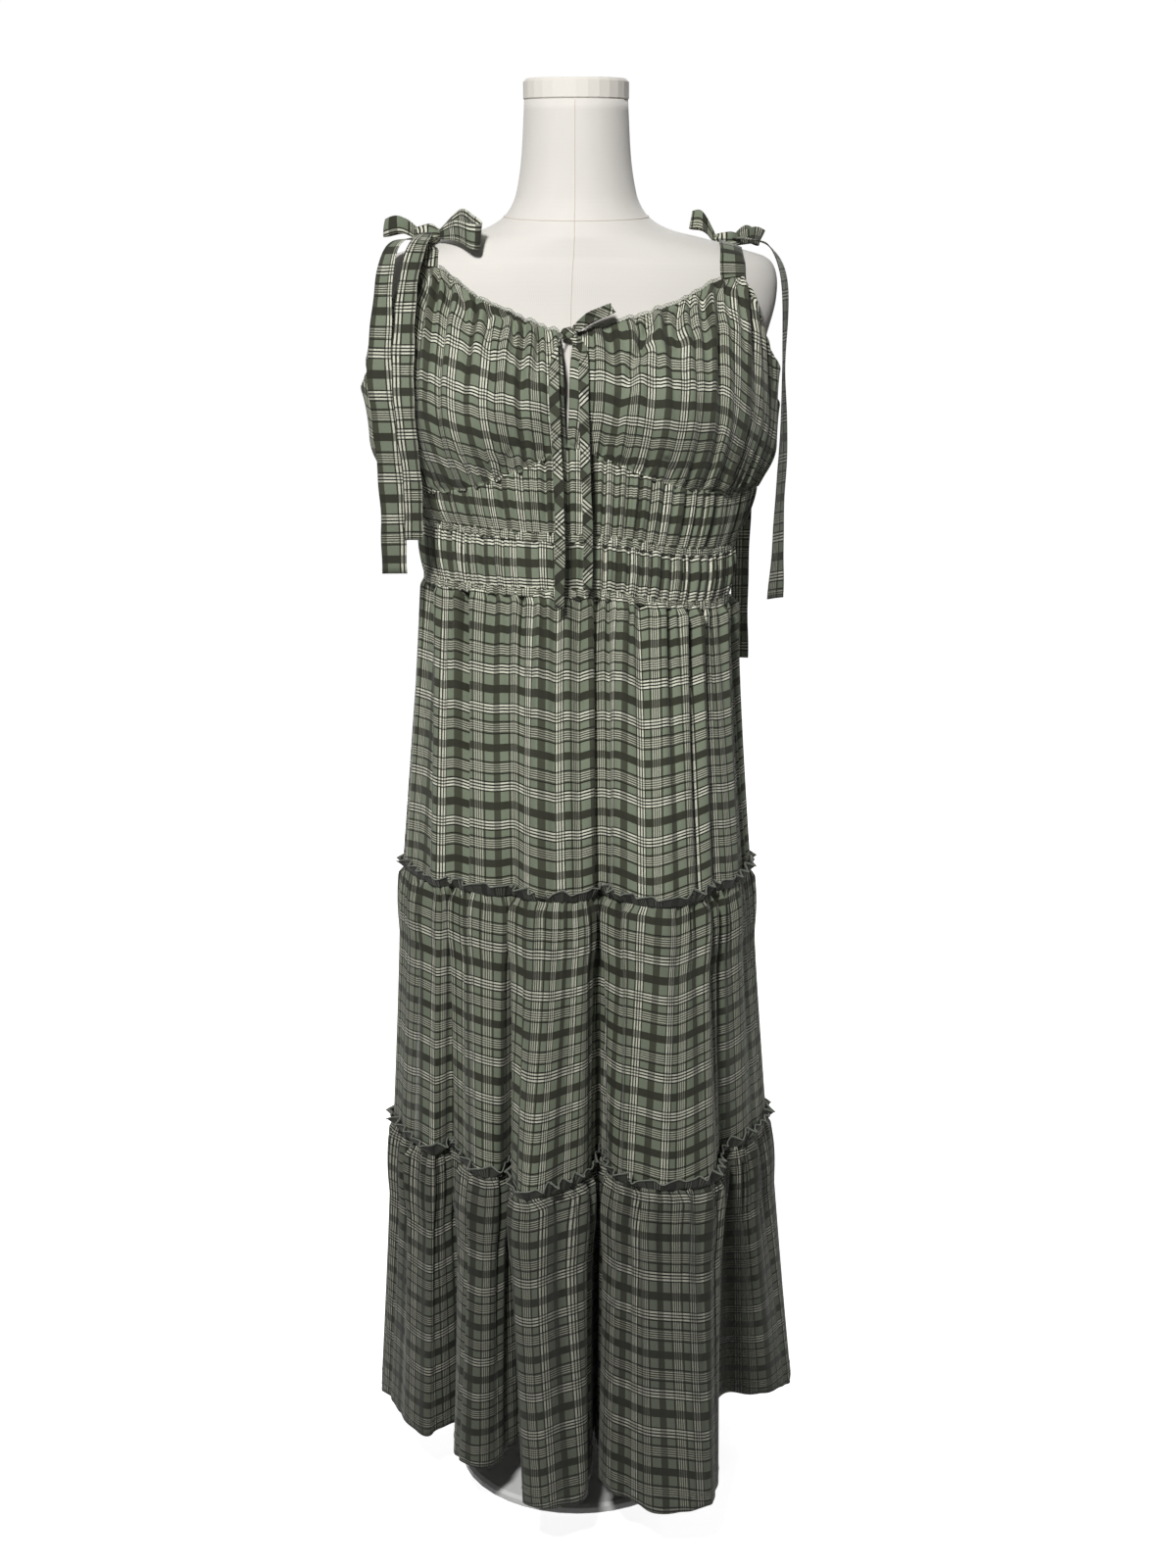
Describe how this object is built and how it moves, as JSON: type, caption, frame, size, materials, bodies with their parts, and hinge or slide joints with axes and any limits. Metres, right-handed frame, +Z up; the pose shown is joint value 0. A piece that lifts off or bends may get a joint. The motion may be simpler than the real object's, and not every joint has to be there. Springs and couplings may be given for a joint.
{
  "type": "tiered maxi dress on dress form",
  "caption": "Sleeveless tiered maxi dress in plaid, with tie straps, gathered bodice, keyhole tie and frilled seams, worn on a limbless dress form with a round stand",
  "frame": {"origin": "on the floor at the centre of the stand's base, under the pole", "axes": "+Z up, the front of the dress faces -Y, +X is the viewer's right"},
  "size_m": [0.4835, 0.4889, 1.544],
  "materials": {
    "dress_plaid": "light crinkled plaid, sage green with dark olive bands and cream lines",
    "frill_plaid": "dark olive plaid with overlocked edge",
    "form_cover": "off-white jersey cover",
    "stand_paint": "off-white satin paint"
  },
  "bodies": {
    "root": {"bodice_front_left": "dress_plaid", "bodice_front_right": "dress_plaid", "bodice_back": "dress_plaid", "midriff_upper_front": "dress_plaid", "midriff_upper_back": "dress_plaid", "midriff_lower_front": "dress_plaid", "midriff_lower_back": "dress_plaid", "tier_1_front": "dress_plaid", "tier_1_back": "dress_plaid", "tier_2_front": "dress_plaid", "tier_2_back": "dress_plaid", "tier_3_front": "dress_plaid", "tier_3_back": "dress_plaid", "shoulder_tie_left_front": "dress_plaid", "shoulder_tie_left_back": "dress_plaid", "shoulder_tie_right_front": "dress_plaid", "shoulder_tie_right_back": "dress_plaid", "shoulder_knot_left": "dress_plaid", "shoulder_knot_right": "dress_plaid", "bow_left_loop_inner": "dress_plaid", "bow_left_loop_outer": "dress_plaid", "bow_left_end_outer": "dress_plaid", "bow_left_end_inner": "dress_plaid", "bow_right_loop_inner": "dress_plaid", "bow_right_loop_outer": "dress_plaid", "bow_right_end_side": "dress_plaid", "bow_right_end_rear": "dress_plaid", "keyhole_knot": "dress_plaid", "keyhole_tie_loop": "dress_plaid", "keyhole_tie_end_left": "dress_plaid", "keyhole_tie_end_right": "dress_plaid", "tier_2_front_frill": "frill_plaid", "tier_2_back_frill": "frill_plaid", "tier_3_front_frill": "frill_plaid", "tier_3_back_frill": "frill_plaid", "form_torso": "form_cover", "form_neck_cap": "form_cover", "stand_pole": "stand_paint", "stand_base": "stand_paint"}
  },
  "joints": []
}
